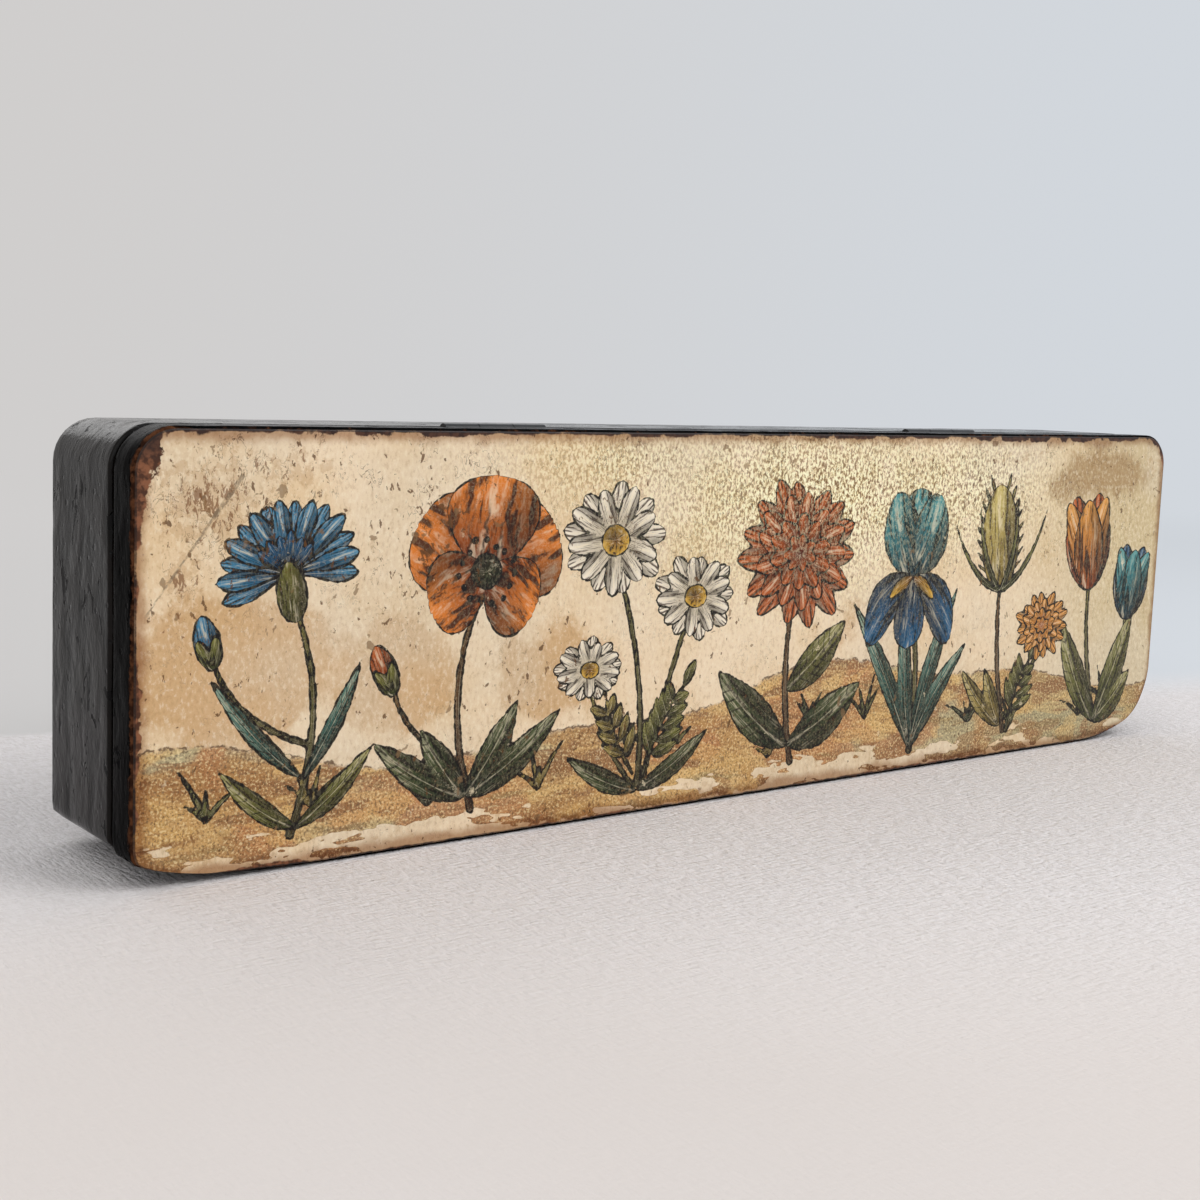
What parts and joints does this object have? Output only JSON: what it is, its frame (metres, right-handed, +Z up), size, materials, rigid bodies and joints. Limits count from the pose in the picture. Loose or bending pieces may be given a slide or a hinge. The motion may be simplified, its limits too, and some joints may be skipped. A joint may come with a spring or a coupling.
{
  "type": "pencil box",
  "caption": "Slim lacquered papier-mache pencil box with round corners, a shallow hinged lid faced with a print, and a locating lip inside the rim.",
  "frame": {"origin": "middle of the box's footprint, on the surface that the box stands on", "axes": "+Z up as the box stands on its opening side, +X along its length, -Y out of the picture on the lid"},
  "size_m": [0.23, 0.031, 0.0644],
  "materials": {
    "lacquer": "gloss",
    "print": "satin",
    "lining": "matte",
    "pasteboard": "satin",
    "brass": "satin"
  },
  "bodies": {
    "base": {"base_side_band": "lacquer", "base_bottom_panel": "lacquer", "base_floor_lining": "lining", "locating_lip": "pasteboard", "left_hinge_base_leaf": "brass", "left_hinge_pin": "brass", "left_hinge_base_brads": "brass", "right_hinge_base_leaf": "brass", "right_hinge_pin": "brass", "right_hinge_base_brads": "brass"},
    "lid": {"lid_side_band": "lacquer", "lid_top_panel": "lacquer", "lid_picture": "print", "lid_lining": "lining", "left_hinge_lid_leaf": "brass", "left_hinge_lid_brads": "brass", "right_hinge_lid_leaf": "brass", "right_hinge_lid_brads": "brass"}
  },
  "joints": [
    {"name": "lid_hinge", "type": "hinge", "parent": "base", "child": "lid", "pos_m": [0, -0.0075, 0.0633], "axis": [-1, 0, 0], "range_deg": [0, 100]}
  ]
}
